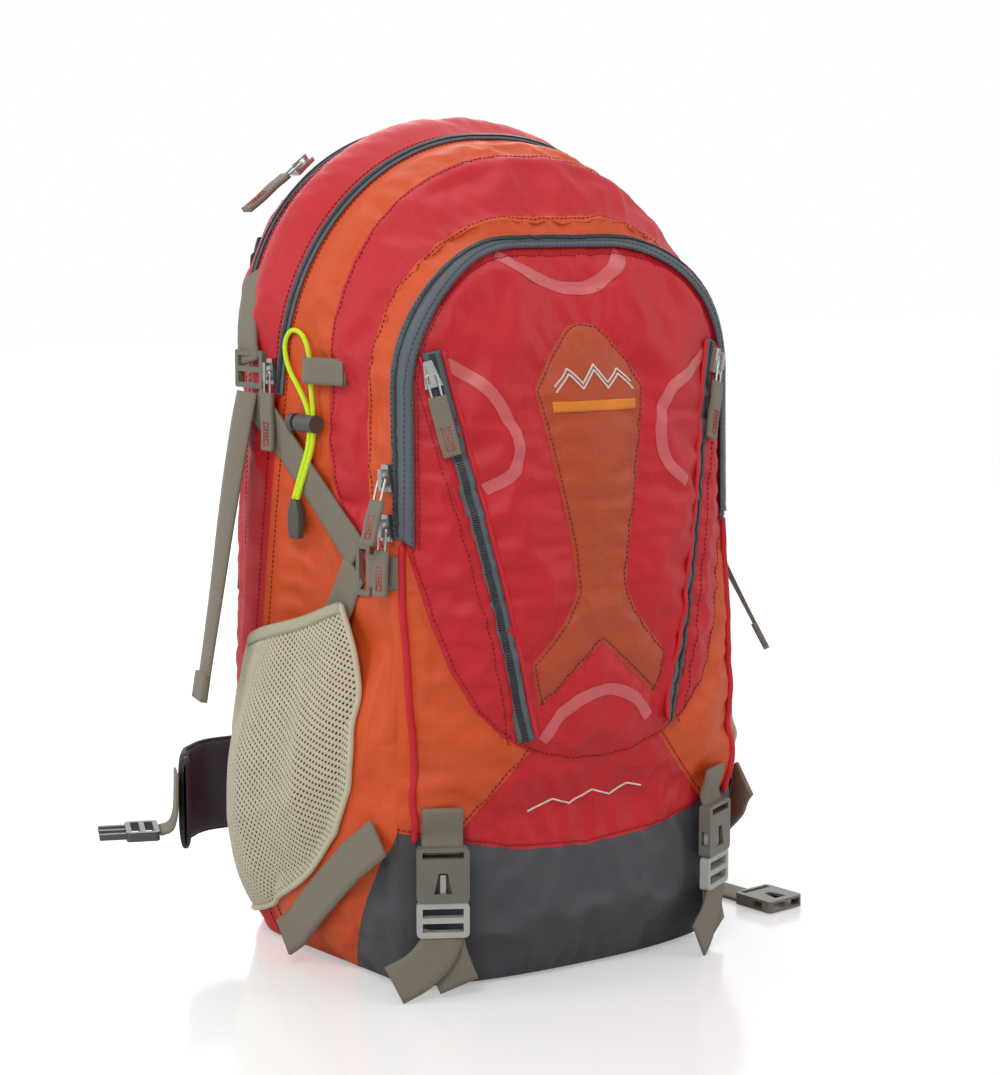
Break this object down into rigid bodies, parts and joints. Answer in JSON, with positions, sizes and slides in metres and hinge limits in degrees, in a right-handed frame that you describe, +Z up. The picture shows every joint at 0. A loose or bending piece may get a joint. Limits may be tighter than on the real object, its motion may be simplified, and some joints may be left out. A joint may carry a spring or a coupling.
{
  "type": "hiking daypack",
  "caption": "Soft hiking daypack with nested zipped compartments, open mesh side pockets, framed back, padded harness, hip belt and compression straps.",
  "frame": {"origin": "centre of the flat base face", "axes": "+Z up, -Y towards the front face, +X to the right as seen from the front"},
  "size_m": [0.4364, 0.3341, 0.531],
  "materials": {
    "red_nylon": "ripstop weave, soft sheen",
    "boot_fabric": "coarse coated weave",
    "mesh": "open knitted mesh",
    "webbing": "woven flat webbing",
    "buckle_grey": "moulded, satin",
    "buckle_light": "moulded, satin",
    "zip_grey": "zip tape with coil",
    "slider_metal": "nickel plated",
    "pull_fabric": "folded webbing tab on a wire ring",
    "pad_fabric": "spacer mesh over foam",
    "sheet_plastic": "extruded sheet",
    "stay_metal": "plain bar",
    "cord_yellow": "braided elastic cord",
    "cord_end_grey": "moulded"
  },
  "bodies": {
    "pack": {"back_pad": "pad_fabric", "base_boot": "boot_fabric", "base_buckle_female_left": "buckle_grey", "base_buckle_female_right": "buckle_grey", "base_strap_anchors": "webbing", "bungee_cord_left": "cord_yellow", "bungee_cord_right": "cord_yellow", "bungee_tabs": "webbing", "compartment_sliders": "slider_metal", "compartment_zips": "zip_grey", "compression_straps": "webbing", "compression_straps_lower": "webbing", "cord_ends": "cord_end_grey", "cord_lock_left": "buckle_light", "cord_lock_right": "buckle_light", "frame_sheet": "sheet_plastic", "frame_stays": "stay_metal", "front_pocket": "red_nylon", "front_slider_lower": "slider_metal", "front_zip": "zip_grey", "hanging_strap_left": "webbing", "hanging_strap_right": "webbing", "haul_loop": "webbing", "ladder_locks": "buckle_grey", "lower_loop_straps": "webbing", "lumbar_pad": "pad_fabric", "main_compartment": "red_nylon", "pocket_zips": "zip_grey", "ring_tabs": "webbing", "shoulder_locks": "buckle_grey", "shoulder_strap_left": "pad_fabric", "shoulder_strap_right": "pad_fabric", "shoulder_webbing": "webbing", "side_mesh_pocket_left": "mesh", "side_mesh_pocket_right": "mesh", "side_rings": "buckle_grey", "sternum_buckle_female": "buckle_grey", "sternum_buckle_male": "buckle_light", "sternum_straps": "webbing"},
    "cord_button_left": {"cord_button_left": "buckle_grey"},
    "cord_button_right": {"cord_button_right": "buckle_grey"},
    "base_plug_left": {"base_buckle_male_left": "buckle_light", "base_strap_tail_left": "webbing"},
    "base_plug_right": {"base_buckle_male_right": "buckle_light", "base_strap_tail_right": "webbing"},
    "hip_wing_left": {"hip_belt_wing_left": "pad_fabric", "hip_belt_webbing_left": "webbing", "waist_buckle_male": "buckle_light"},
    "hip_wing_right": {"hip_belt_wing_right": "pad_fabric", "hip_belt_webbing_right": "webbing", "waist_buckle_female": "buckle_grey"},
    "pocket_slider_left": {"pocket_slider_left": "slider_metal"},
    "pocket_slider_right": {"pocket_slider_right": "slider_metal"},
    "pocket_pull_left": {"pocket_pull_left": "pull_fabric"},
    "pocket_pull_right": {"pocket_pull_right": "pull_fabric"},
    "front_slider_upper": {"front_slider_upper": "slider_metal"},
    "front_pull_upper": {"front_pull_upper": "pull_fabric"},
    "front_pull_lower": {"front_pull_lower": "pull_fabric"},
    "main_pull": {"main_pull": "pull_fabric"},
    "rear_pull": {"rear_pull": "pull_fabric"}
  },
  "joints": [
    {"name": "cord_button_right_press", "type": "slide", "parent": "pack", "child": "cord_button_right", "axis": [-0.123, -0.9924, 0], "range_m": [0, 0.0035], "stiffness_N_per_m": 250, "springref_m": -0.002},
    {"name": "base_buckle_right_release", "type": "slide", "parent": "pack", "child": "base_plug_right", "axis": [0, 0, -1], "range_m": [0, 0.022]},
    {"name": "hip_wing_right_fold", "type": "hinge", "parent": "pack", "child": "hip_wing_right", "pos_m": [0.1, 0.163, 0], "axis": [0, 0, 1], "range_deg": [0, 60]},
    {"name": "pocket_zip_right_run", "type": "slide", "parent": "pack", "child": "pocket_slider_right", "axis": [-0.2245, -0.1204, -0.967], "range_m": [0, 0.215]},
    {"name": "pocket_pull_right_flip", "type": "hinge", "parent": "pocket_slider_right", "child": "pocket_pull_right", "pos_m": [0.10761, -0.09184, 0.38097], "axis": [-0.8522, -0.457, 0.2547], "range_deg": [0, 120]},
    {"name": "cord_button_left_press", "type": "slide", "parent": "pack", "child": "cord_button_left", "axis": [0.123, -0.9924, 0], "range_m": [0, 0.0035], "stiffness_N_per_m": 250, "springref_m": -0.002},
    {"name": "base_buckle_left_release", "type": "slide", "parent": "pack", "child": "base_plug_left", "axis": [0, 0, -1], "range_m": [0, 0.022]},
    {"name": "hip_wing_left_fold", "type": "hinge", "parent": "pack", "child": "hip_wing_left", "pos_m": [-0.1, 0.163, 0], "axis": [0, 0, 1], "range_deg": [-60, 0]},
    {"name": "pocket_zip_left_run", "type": "slide", "parent": "pack", "child": "pocket_slider_left", "axis": [0.2245, -0.1204, -0.967], "range_m": [0, 0.215]},
    {"name": "pocket_pull_left_flip", "type": "hinge", "parent": "pocket_slider_left", "child": "pocket_pull_left", "pos_m": [-0.10761, -0.09184, 0.38097], "axis": [-0.8522, 0.457, -0.2547], "range_deg": [0, 120]},
    {"name": "front_zip_run", "type": "slide", "parent": "pack", "child": "front_slider_upper", "axis": [0, 0, 1], "range_m": [0, 0.045]},
    {"name": "front_pull_upper_flip", "type": "hinge", "parent": "front_slider_upper", "child": "front_pull_upper", "pos_m": [-0.12915, -0.07132, 0.319], "axis": [-0.1961, 0.9806, 0], "range_deg": [0, 120]},
    {"name": "front_pull_lower_flip", "type": "hinge", "parent": "pack", "child": "front_pull_lower", "pos_m": [-0.12915, -0.07132, 0.289], "axis": [-0.1961, 0.9806, 0], "range_deg": [0, 55]},
    {"name": "main_pull_flip", "type": "hinge", "parent": "pack", "child": "main_pull", "pos_m": [-0.14421, 0.04505, 0.376], "axis": [-0.123, 0.9924, 0], "range_deg": [0, 120]},
    {"name": "rear_pull_flip", "type": "hinge", "parent": "pack", "child": "rear_pull", "pos_m": [-0.09346, 0.092, 0.5063], "axis": [0, 1, 0], "range_deg": [0, 120]}
  ]
}
